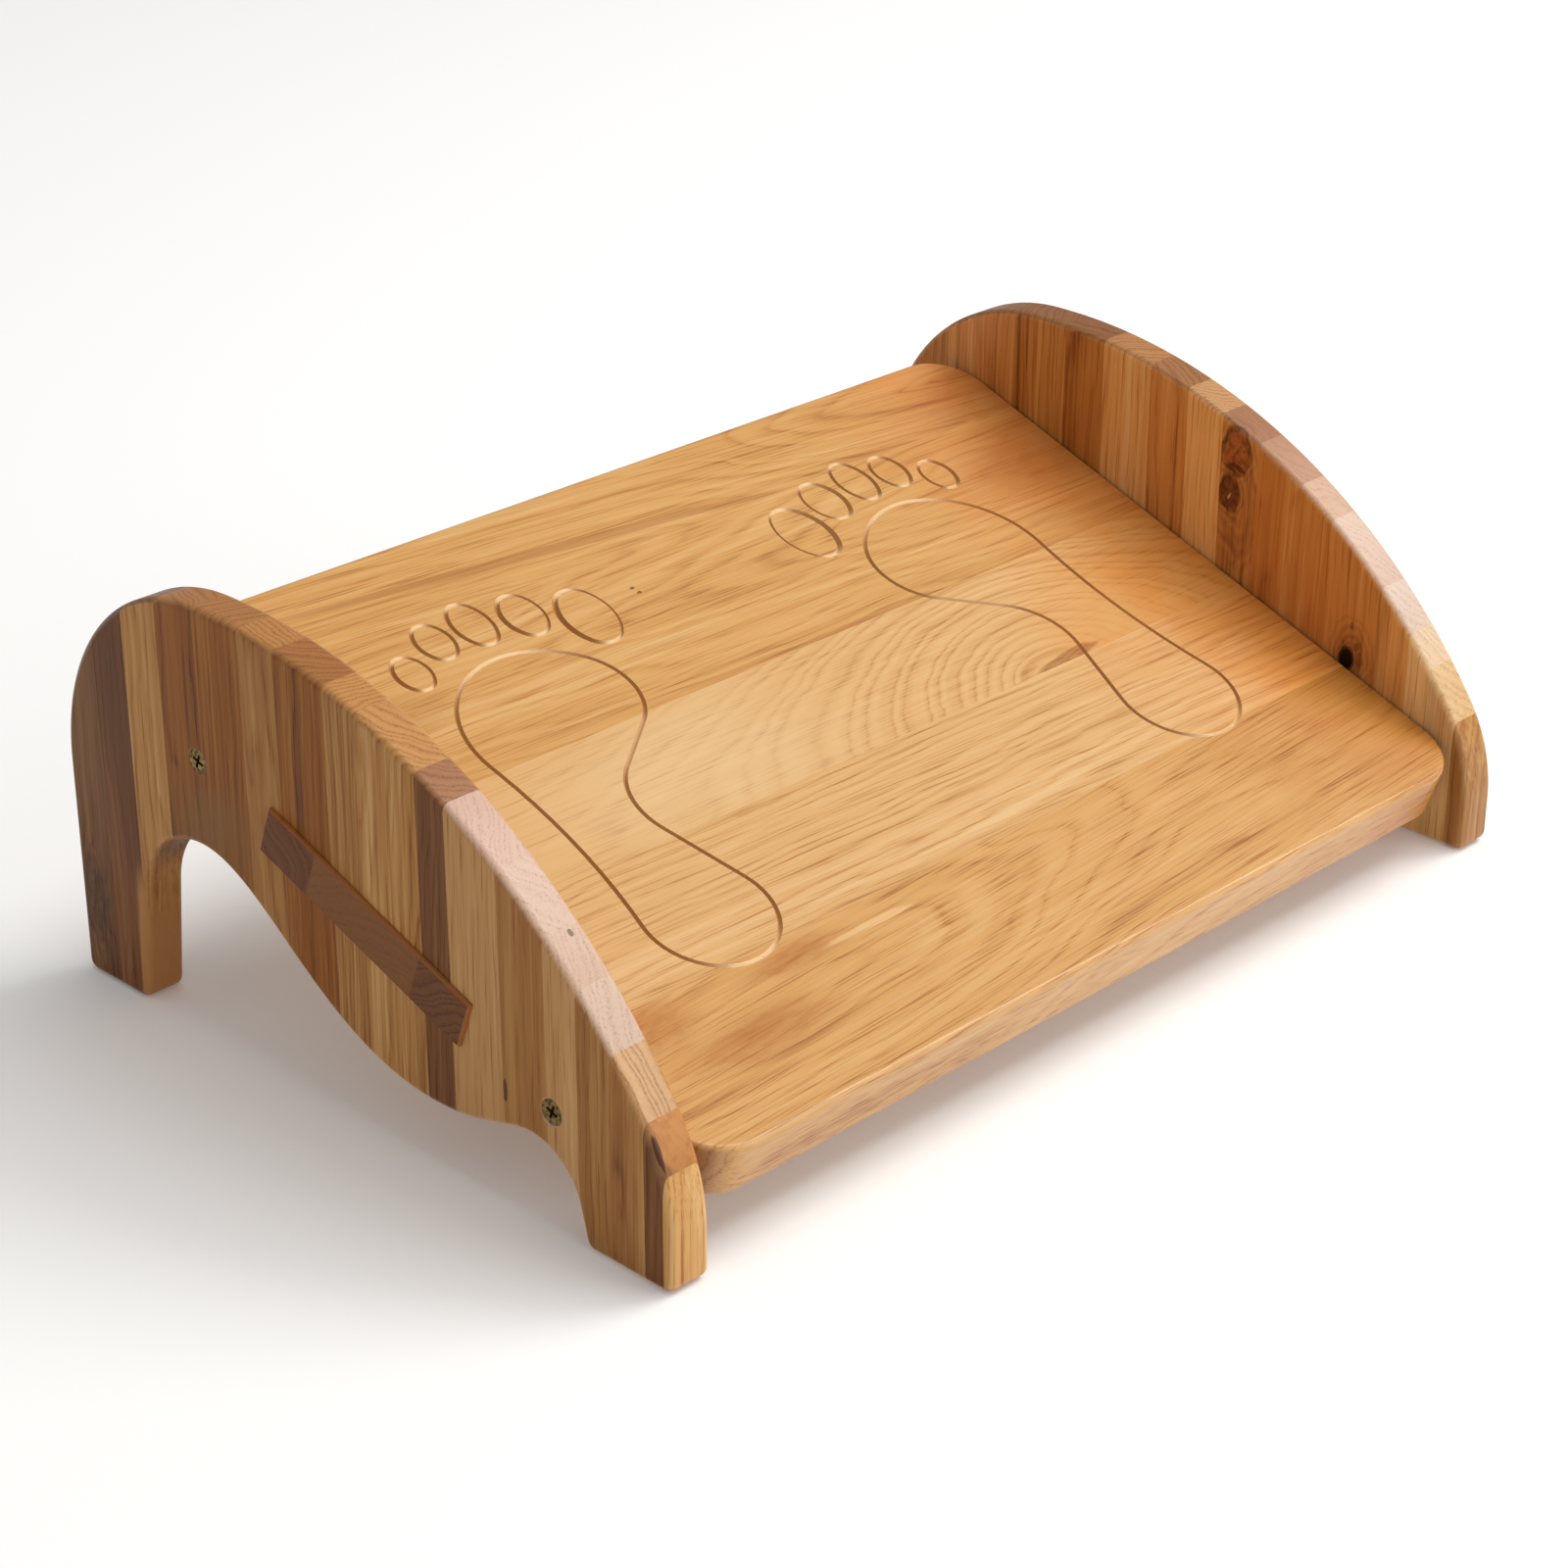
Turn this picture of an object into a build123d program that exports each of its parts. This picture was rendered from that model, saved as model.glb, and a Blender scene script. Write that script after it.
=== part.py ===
import math
import os

from build123d import *

os.makedirs("parts", exist_ok=True)

# A solid-wood footrest. Millimetres. X runs across it, Y from the low front edge
# to the high back edge, and Z up from the floor that the side panels stand on.

# Side panels
overall_width = 400.0  # over the outer faces of the two panels
panel_depth = 276.0
panel_height = 150.0
panel_thickness = 15.0
panel_round = 2.5  # round-over along both arrises of the outline
crown_radius = 73.5  # high back corner
top_flat = 4.5  # level stretch in front of the crown
nose_radius = 60.0  # low front corner
front_edge_height = 17.0  # upright front edge below the nose
foot_corner = 4.0  # corners of the feet in side view

# Cut-out under each panel: an arch at either leg and a belly hanging between them
back_leg_width = 32.0  # on the floor
back_leg_flare = 6.0  # degrees that the leg's inner edge leans
back_arch_radius = 31.5
back_arch_top = 68.3
front_leg_width = 35.5
front_leg_flare = 14.0
front_arch_radius = 20.5
front_arch_top = 28.3
belly_run = 41.5  # from the top of the front arch back to the belly's low point
belly_bottom = 21.0
front_arch_pull = 10.0  # lengths of the curve handles that shape the belly
belly_front_pull = 21.5
belly_back_pull = 54.0
back_arch_pull = 31.5

# Footboard
board_slope = 20.2  # degrees
board_thickness = 20.0
board_front_height = 35.3  # top face at its front edge
board_front_inset = 1.0  # behind the panels' front edges
board_back_inset = 29.8  # in front of the panels' back edges
board_corner = 20.0  # corners in plan
board_round = 2.0  # round-over along the top and bottom edges

# Through tenon at each end of the footboard, and its mortise in the panel
tenon_length = 95.0  # along the slope
tenon_thickness = 17.0
tenon_proud = 1.5  # stands out of the panel's outer face
tenon_uphill = 1.5  # its middle from the middle of the board's end
tenon_drop = 1.0
tenon_chamfer = 0.6
glue_gap = 0.1  # between tenon and mortise, each side

# Countersunk cross-head screws, two through each panel into the footboard's end
screw_spacing = 168.0
screw_drop = 2.4  # below the middle of the board's end
screw_length = 40.0
screw_shank_radius = 2.0
screw_tip = 4.0
screw_head_radius = 4.2
screw_head_angle = 90.0
screw_sink = 0.4  # head below the panel's outer face
screw_gap = 0.1  # between the screw and its holes
pilot_spare = 2.0  # pilot hole past the screw's tip
cross_length = 4.8
cross_width = 1.1
cross_depth = 1.7
cross_taper = 12.0

# Footprints routed into the footboard, as places from its centre: x outwards from the
# middle of the board, y uphill. The left foot is described and the right one mirrors it.
groove_depth = 0.8
groove_angle = 90.0  # between the two walls of the V
ball_centre = (-93.9, 32.9)
ball_radius = 36.3
lobe_radius = 22.5  # inner side of the ball, inside the ball's circle
lobe_angle = 39.7
heel_centre = (-113.0, -53.2)
heel_radius = 22.8
instep_radius = 24.8
ball_straight = 24.2  # straight stretches between the instep and the lobe or the heel
heel_straight = 30.4
outer_edge_radius = 232.0  # hollow along the outer side of the foot

# Toes from the little one to the big one: x, y, half width, half length, radius at the tips, lean
toes = [
    (-123.6, 75.5, 6.3, 8.2, 5.3, -4.0),
    (-107.2, 84.7, 6.6, 8.8, 5.5, -2.0),
    (-90.1, 86.1, 7.1, 10.7, 5.5, -2.0),
    (-71.2, 82.4, 7.7, 10.4, 6.3, -6.0),
    (-51.1, 72.1, 9.8, 13.9, 7.8, -7.0),
]

# Widths of the edge-glued staves, back to front. Those in the middle, which the tenon and the
# screws pass through, hold their widths, and the others ease to fill the panel's depth.
left_back_widths = [18.8, 16.5, 17.9]
left_middle_widths = [18.8, 21.7, 16.8, 22.2, 14.3, 26.0, 12.2, 21.5, 18.8, 12.9]
left_front_widths = [13.8, 12.8, 7.5, 3.5]
left_middle_start = 84.8  # glue line behind the middle staves, from half-way along the panel
right_back_widths = [16.0, 15.0, 16.4, 16.2]
right_middle_widths = [24.6, 18.2, 22.0, 17.2, 16.0, 16.4, 19.0, 14.0, 23.0]
right_front_widths = [13.0, 9.0, 12.0, 8.0]
right_middle_start = 74.4

# Widths of the footboard's planks, back to front
plank_widths = [36.8, 68.2, 49.5, 50.5, 57.5]

half_depth = panel_depth / 2
outer_x = overall_width / 2
inner_x = outer_x - panel_thickness
head_spread = math.tan(math.radians(screw_head_angle / 2))
head_height = (screw_head_radius - screw_shank_radius) / head_spread

# Footboard's frame: origin at the centre of its top face, x across, y uphill, z off the face
slope = math.radians(board_slope)
uphill = Vector(0, math.cos(slope), math.sin(slope))
board_normal = Vector(0, -math.sin(slope), math.cos(slope))
board_front_y = -half_depth + board_front_inset
board_depth = (half_depth - board_back_inset - board_front_y) / math.cos(slope)
board_centre = Vector(0, board_front_y, board_front_height) + uphill * (board_depth / 2)
board_plane = Plane(origin=board_centre, x_dir=(1, 0, 0), z_dir=board_normal)


# Plane across one end of the footboard: x uphill, z outwards, origin below mid-thickness by drop
def end_plane(side, distance, shift, drop):
    middle = board_centre + uphill * shift - board_normal * (board_thickness / 2 + drop)
    return Plane(origin=middle + Vector(side * distance, 0, 0), x_dir=uphill, z_dir=(side, 0, 0))


# Point on a circle, by an angle in degrees
def on_circle(centre, radius, angle):
    turn = math.radians(angle)
    return (centre[0] + radius * math.cos(turn), centre[1] + radius * math.sin(turn))


# Angle of the line from one point to another, in degrees
def bearing(start, end):
    return math.degrees(math.atan2(end[1] - start[1], end[0] - start[0]))


# Point at given distances from two others, on the side that turn says
def apex(first, second, first_reach, second_reach, turn):
    gap = math.dist(first, second)
    cosine = (gap**2 + first_reach**2 - second_reach**2) / (2 * gap * first_reach)
    return on_circle(first, first_reach, bearing(first, second) + turn * math.degrees(math.acos(cosine)))


# Where an arch's circle lies so that the leg beside it meets the floor at foot_y
def arch_centre(foot_y, way, radius, top, flare):
    lean = math.radians(flare)
    height = top - radius
    reach = radius * math.cos(lean) + (height + radius * math.sin(lean)) * math.tan(lean)
    return (foot_y - way * reach, height)


# Side view of a panel, drawn with y to the right and z up
def panel_outline():
    crown_centre = (half_depth - crown_radius, panel_height - crown_radius)
    brow_y = crown_centre[0] - top_flat
    nose_centre = (-half_depth + nose_radius, front_edge_height)
    run = brow_y - nose_centre[0]
    rise = panel_height - front_edge_height
    brow_radius = (run**2 + rise**2 - nose_radius**2) / (2 * (rise - nose_radius))
    brow_centre = (brow_y, panel_height - brow_radius)
    brow_end = bearing(brow_centre, nose_centre)

    back_foot = half_depth - back_leg_width
    front_foot = -half_depth + front_leg_width
    back_arch = arch_centre(back_foot, 1, back_arch_radius, back_arch_top, back_leg_flare)
    front_arch = arch_centre(front_foot, -1, front_arch_radius, front_arch_top, front_leg_flare)
    front_top = (front_arch[0], front_arch_top)
    back_top = (back_arch[0], back_arch_top)
    belly = (front_arch[0] + belly_run, belly_bottom)

    with BuildSketch() as outline:
        with BuildLine() as edge:
            Line((half_depth, 0), (half_depth, crown_centre[1]))
            CenterArc(crown_centre, crown_radius, 0, 90)
            Line((crown_centre[0], panel_height), (brow_y, panel_height))
            CenterArc(brow_centre, brow_radius, 90, brow_end - 90)
            CenterArc(nose_centre, nose_radius, brow_end, 180 - brow_end)
            Line((-half_depth, front_edge_height), (-half_depth, 0))
            Line((-half_depth, 0), (front_foot, 0))
            Line((front_foot, 0), on_circle(front_arch, front_arch_radius, 180 - front_leg_flare))
            CenterArc(front_arch, front_arch_radius, 90, 90 - front_leg_flare)
            Bezier(
                front_top,
                (front_top[0] + front_arch_pull, front_arch_top),
                (belly[0] - belly_front_pull, belly_bottom),
                belly,
            )
            Bezier(
                belly,
                (belly[0] + belly_back_pull, belly_bottom),
                (back_top[0] - back_arch_pull, back_arch_top),
                back_top,
            )
            CenterArc(back_arch, back_arch_radius, back_leg_flare, 90 - back_leg_flare)
            Line(on_circle(back_arch, back_arch_radius, back_leg_flare), (back_foot, 0))
            Line((back_foot, 0), (half_depth, 0))
        make_face()
        fillet(outline.vertices().group_by(Axis.Y)[0], foot_corner)
    return outline.sketch


# Middle of the tenon's section, and of the pair of screws, at a distance along the footboard
def tenon_plane(side, distance):
    return end_plane(side, distance, tenon_uphill, tenon_drop)


def screw_plane(side, distance):
    return end_plane(side, distance, 0, screw_drop)


# One shaped panel with its mortise and screw holes, before it is parted into staves
def side_panel(side):
    low_x = min(side * outer_x, side * inner_x)
    with BuildPart() as panel:
        with BuildSketch(Plane.YZ.offset(low_x)):
            add(panel_outline())
        extrude(amount=panel_thickness)
        fillet(panel.faces().filter_by(Axis.X).edges(), panel_round)
        with BuildSketch(tenon_plane(side, inner_x)):
            Rectangle(tenon_length + 2 * glue_gap, tenon_thickness + 2 * glue_gap)
        extrude(amount=panel_thickness, mode=Mode.SUBTRACT)
        with Locations(screw_plane(side, outer_x)):
            with Locations((-screw_spacing / 2, 0), (screw_spacing / 2, 0)):
                CounterSinkHole(
                    radius=screw_shank_radius + screw_gap,
                    counter_sink_radius=screw_head_radius + screw_gap + screw_sink * head_spread,
                    depth=panel_thickness,
                    counter_sink_angle=screw_head_angle,
                )
    return panel.part


# Places of the glue lines between pieces that fill the length from back to front
def glue_lines(widths, back, length):
    fill = length / sum(widths)
    return [back - fill * sum(widths[:count]) for count in range(len(widths) + 1)]


# Glue lines of a whole panel, from its back edge to its front one
def panel_lines(back_widths, middle_widths, front_widths, middle_start):
    middle_length = sum(middle_widths)
    middle_end = middle_start - middle_length
    back_lines = glue_lines(back_widths, half_depth, half_depth - middle_start)
    middle_lines = glue_lines(middle_widths, middle_start, middle_length)
    front_lines = glue_lines(front_widths, middle_end, half_depth + middle_end)
    return back_lines + middle_lines[1:] + front_lines[1:]


# Parts a panel into staves. The mortise cuts some of them into an upper and a lower length.
def part_into_staves(panel, name, lines):
    last = len(lines) - 1
    for number, (back, front) in enumerate(zip(lines, lines[1:]), start=1):
        with BuildPart() as stave:
            add(panel)
            if number > 1:
                split(bisect_by=Plane(origin=(0, back, 0), z_dir=(0, -1, 0)))
            if number < last:
                split(bisect_by=Plane(origin=(0, front, 0), z_dir=(0, 1, 0)))
        lengths = stave.part.solids().sort_by(Axis.Z)
        endings = [""] if len(lengths) == 1 else ["_lower", "_upper"]
        for length, ending in zip(lengths, endings):
            with BuildPart() as piece:
                add(length)
            piece.part.label = f"{name}_stave_{number:02d}{ending}"
            export_step(piece.part, f"parts/{piece.part.label}.step")


left_lines = panel_lines(left_back_widths, left_middle_widths, left_front_widths, left_middle_start)
right_lines = panel_lines(right_back_widths, right_middle_widths, right_front_widths, right_middle_start)
part_into_staves(side_panel(-1), "left", left_lines)
part_into_staves(side_panel(1), "right", right_lines)


# Line of the left sole: ball, lobe, instep and heel, joined by straight and hollow stretches
def sole_line():
    lobe_centre = on_circle(ball_centre, ball_radius - lobe_radius, lobe_angle)

    edge_to_ball = outer_edge_radius + ball_radius
    edge_to_heel = outer_edge_radius + heel_radius
    edge_centre = apex(ball_centre, heel_centre, edge_to_ball, edge_to_heel, -1)
    ball_end = bearing(ball_centre, edge_centre) % 360
    edge_start = bearing(edge_centre, ball_centre)
    edge_turn = bearing(edge_centre, heel_centre) - edge_start
    heel_start = bearing(heel_centre, edge_centre)

    lobe_reach = lobe_radius + instep_radius
    heel_reach = heel_radius + instep_radius
    instep_to_lobe = math.hypot(lobe_reach, ball_straight)
    instep_to_heel = math.hypot(heel_reach, heel_straight)
    instep_centre = apex(lobe_centre, heel_centre, instep_to_lobe, instep_to_heel, 1)
    lobe_lean = math.degrees(math.atan2(ball_straight, lobe_reach))
    heel_lean = math.degrees(math.atan2(heel_straight, heel_reach))
    lobe_start = bearing(lobe_centre, instep_centre) + lobe_lean
    heel_end = bearing(heel_centre, instep_centre) - heel_lean

    with BuildLine(board_plane) as sole:
        CenterArc(ball_centre, ball_radius, lobe_angle, ball_end - lobe_angle)
        CenterArc(edge_centre, outer_edge_radius, edge_start, edge_turn)
        CenterArc(heel_centre, heel_radius, heel_start, heel_end + 360 - heel_start)
        Line(
            on_circle(heel_centre, heel_radius, heel_end),
            on_circle(instep_centre, instep_radius, heel_end + 180),
        )
        CenterArc(instep_centre, instep_radius, heel_end + 180, lobe_start - heel_end)
        Line(
            on_circle(instep_centre, instep_radius, lobe_start + 180),
            on_circle(lobe_centre, lobe_radius, lobe_start),
        )
        CenterArc(lobe_centre, lobe_radius, lobe_start, lobe_angle - lobe_start)
    return sole.line


# Line of one toe, an oval of four arcs
def toe_line(x, y, half_width, half_length, tip_radius, lean):
    rise = half_length - tip_radius
    side_radius = (half_width**2 + rise**2 - tip_radius**2) / (2 * (half_width - tip_radius))
    tip_angle = math.degrees(math.atan2(rise, side_radius - half_width))
    centre = board_plane.from_local_coords((x, y, 0))
    toe_plane = Plane(origin=centre, x_dir=(1, 0, 0), z_dir=board_normal).rotated((0, 0, lean))
    with BuildLine(toe_plane) as toe:
        CenterArc((half_width - side_radius, 0), side_radius, -tip_angle, 2 * tip_angle)
        CenterArc((0, rise), tip_radius, tip_angle, 180 - 2 * tip_angle)
        CenterArc((side_radius - half_width, 0), side_radius, 180 - tip_angle, 2 * tip_angle)
        CenterArc((0, -rise), tip_radius, 180 + tip_angle, 180 - 2 * tip_angle)
    return toe.line


# V-shaped cut along the lines of the left foot
groove_reach = 2 * groove_depth * math.tan(math.radians(groove_angle / 2))
with BuildPart() as left_footprint:
    for line in [sole_line()] + [toe_line(*toe) for toe in toes]:
        with BuildSketch(Plane(origin=line @ 0, x_dir=board_normal, z_dir=line % 0)):
            Polygon(
                (-groove_depth, 0),
                (groove_depth, -groove_reach),
                (groove_depth, groove_reach),
                align=None,
            )
        sweep(path=line)

# The glued-up footboard with its tenons, screw holes and footprints
with BuildPart() as footboard:
    with BuildSketch(board_plane):
        RectangleRounded(2 * inner_x, board_depth, board_corner)
    extrude(amount=-board_thickness)
    fillet(footboard.faces().filter_by(board_plane).edges(), board_round)
    for side in (-1, 1):
        with BuildSketch(tenon_plane(side, inner_x - board_round)):
            Rectangle(tenon_length, tenon_thickness)
        extrude(amount=board_round + panel_thickness + tenon_proud)
    tenon_ends = footboard.faces().sort_by(Axis.X)
    chamfer(tenon_ends[0].edges() + tenon_ends[-1].edges(), tenon_chamfer)
    pilot_depth = screw_sink + screw_length - panel_thickness + pilot_spare
    for side in (-1, 1):
        with Locations(screw_plane(side, inner_x)):
            with Locations((-screw_spacing / 2, 0), (screw_spacing / 2, 0)):
                Hole(screw_shank_radius + screw_gap, pilot_depth)
    add(left_footprint.part, mode=Mode.SUBTRACT)
    mirror(left_footprint.part, about=Plane.YZ, mode=Mode.SUBTRACT)

# Planks that the footboard is glued up from, back to front
plank_lines = glue_lines(plank_widths, board_depth / 2, board_depth)
for number, (back, front) in enumerate(zip(plank_lines, plank_lines[1:]), start=1):
    with BuildPart() as plank:
        add(footboard.part)
        if number > 1:
            split(bisect_by=Plane(origin=board_centre + uphill * back, z_dir=-uphill))
        if number < len(plank_widths):
            split(bisect_by=Plane(origin=board_centre + uphill * front, z_dir=uphill))
    plank.part.label = f"footboard_plank_{number}"
    export_step(plank.part, f"parts/{plank.part.label}.step")

# One screw, with the face of its head at the origin and its tip down
with BuildPart() as screw:
    with BuildSketch(Plane.XZ):
        with BuildLine():
            Polyline(
                (0, 0),
                (screw_head_radius, 0),
                (screw_shank_radius, -head_height),
                (screw_shank_radius, -(screw_length - screw_tip)),
                (0, -screw_length),
                close=True,
            )
        make_face()
    revolve(axis=Axis.Z)
    with BuildSketch():
        Rectangle(cross_length, cross_width)
        Rectangle(cross_width, cross_length)
    extrude(amount=-cross_depth, taper=cross_taper, mode=Mode.SUBTRACT)

# The pair of screws in each panel
for side, name in ((-1, "left"), (1, "right")):
    with BuildPart() as screws:
        with Locations(screw_plane(side, outer_x - screw_sink)):
            with Locations((-screw_spacing / 2, 0), (screw_spacing / 2, 0)):
                add(screw.part)
    screws.part.label = f"{name}_screws"
    export_step(screws.part, f"parts/{screws.part.label}.step")
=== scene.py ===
import bpy
import math
from mathutils import Matrix, Vector


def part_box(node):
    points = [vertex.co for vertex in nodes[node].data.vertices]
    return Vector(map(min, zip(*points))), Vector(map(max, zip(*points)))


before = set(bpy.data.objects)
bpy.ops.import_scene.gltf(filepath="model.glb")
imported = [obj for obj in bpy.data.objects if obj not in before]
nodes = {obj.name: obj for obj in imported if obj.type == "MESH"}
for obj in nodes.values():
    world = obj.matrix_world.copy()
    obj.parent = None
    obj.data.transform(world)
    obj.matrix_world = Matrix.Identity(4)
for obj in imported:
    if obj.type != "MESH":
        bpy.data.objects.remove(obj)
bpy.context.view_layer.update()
acrossAxis = (1, 0, 0)
upAxis = (0, 0, 1)
perMetre = 1000  # looks give their sizes in millimetres
print("footrest: loaded", len(nodes), "pieces")


def metres(values):
    return [value / perMetre for value in values]


def tint(code):  # a colour as it looks on screen, made linear
    parts = [int(code[i:i + 2], 16) / 255 for i in (0, 2, 4)]
    return [c / 12.92 if c <= 0.04045 else ((c + 0.055) / 1.055) ** 2.4 for c in parts] + [1.0]


def addNode(tree, kind, **settings):
    node = tree.nodes.new(kind)
    for key, value in settings.items():
        setattr(node, key, value)
    return node


def setInput(tree, node, key, value):  # a socket to join, or a plain value
    if isinstance(value, bpy.types.NodeSocket):
        tree.links.new(value, node.inputs[key])
    elif value is not None:
        node.inputs[key].default_value = value


def setInputs(tree, node, values):
    for key, value in values.items():
        setInput(tree, node, key, value)


def maths(tree, how, a, b=None, c=None):
    node = addNode(tree, "ShaderNodeMath", operation=how)
    for i, value in enumerate((a, b, c)):
        setInput(tree, node, i, value)
    return node.outputs[0]


def vectorMaths(tree, how, a, b=None, out=0):
    node = addNode(tree, "ShaderNodeVectorMath", operation=how)
    setInput(tree, node, 0, a)
    setInput(tree, node, 1, b)
    return node.outputs[out]


def dot(tree, a, b):
    return vectorMaths(tree, "DOT_PRODUCT", a, b, out=1)


def absoluteDot(tree, a, b):
    return maths(tree, "ABSOLUTE", dot(tree, a, b))


def fromHalf(tree, noise):  # noise swings either side of a half
    return maths(tree, "SUBTRACT", noise, 0.5)


def vectorFromHalf(tree, noise):
    return vectorMaths(tree, "SUBTRACT", noise, (0.5, 0.5, 0.5))


def blendColour(tree, how, amount, a, b):
    node = addNode(tree, "ShaderNodeMix", data_type="RGBA", blend_type=how)
    setInput(tree, node, "Factor", amount)
    setInput(tree, node, 6, a)
    setInput(tree, node, 7, b)
    return node.outputs[2]


def softStep(tree, value, low, high, fromOut=0.0, toOut=1.0):
    node = addNode(tree, "ShaderNodeMapRange", interpolation_type="SMOOTHSTEP")
    setInputs(tree, node, {"Value": value, "From Min": low, "From Max": high})
    setInputs(tree, node, {"To Min": fromOut, "To Max": toOut})
    return node.outputs[0]


def addNoise(tree, vector, scale=1.0, detail=2.0, rough=0.5):
    node = addNode(tree, "ShaderNodeTexNoise")
    setInputs(tree, node, {"Vector": vector, "Scale": scale, "Detail": detail, "Roughness": rough})
    return node


def grainNoise(tree, vector, across, along, detail=2.0, rough=0.5):  # drawn out along Z, sizes in metres
    stretched = vectorMaths(tree, "MULTIPLY", vector, (1 / across, 1 / across, 1 / along))
    return addNoise(tree, stretched, detail=detail, rough=rough)


def newGroup(name, inputs, outputs):
    tree = bpy.data.node_groups.new(name, "ShaderNodeTree")
    for label, kind in inputs:
        tree.interface.new_socket(name=label, in_out="INPUT", socket_type=kind)
    for label, kind in outputs:
        tree.interface.new_socket(name=label, in_out="OUTPUT", socket_type=kind)
    return tree, tree.nodes.new("NodeGroupInput"), tree.nodes.new("NodeGroupOutput")


# Solid oak: yearly rings round a pith, pores, fibre streaks and end grain. The grain runs along Z.
oakGrain = dict(
    sway=dict(across=0.045, along=0.22),
    ripple=dict(across=0.007, along=0.030),
    fibre=dict(across=0.0022, along=0.160, detail=4.0, rough=0.62),
    streak=dict(across=0.010, along=0.50, detail=3.0, rough=0.55),
    cloud=dict(across=0.050, along=0.16),
    pore=dict(across=0.0006, along=0.030, detail=1.0),
)
oakRings = dict(
    seedShift=dict(X=3.1, Y=1.7, Z=5.3),
    swayGain=4.0,
    rippleSize=0.003,
    fatYearScale=160.0,
    fatYearGain=1.6,
    levels=((0.13, 1.0), (0.36, 0.48), (0.66, 0.08), (0.90, 0.14)),  # open early wood, then dense late wood
    turnOfYear=0.42,
)
oakMix = dict(
    poreStep=(0.46, 0.70),
    poreEarly=0.75,
    poreLate=0.25,
    poreTone="bf8f5a",
    ringLevel=0.3,
    ringGain=0.62,
    ringGainAtEnd=0.7,
    middle=0.55,
    swing=dict(streak=1.1, cloud=0.8, fibre=1.2),
    darkToMiddle=(0.0, 0.5),
    middleToLight=(0.45, 1.0),
    endRings=0.9,
    endPores=0.5,
    endRingTone="a8744c",
    endCover=0.92,
    arrisLift=0.10,
    arrisTone="d9a066",
)
oakSheen = dict(plain=0.44, cloud=0.16, pore=0.22, end=0.10, arris=0.05)
oakRelief = dict(pore=-0.8, fibre=0.35, early=-0.15)


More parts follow.
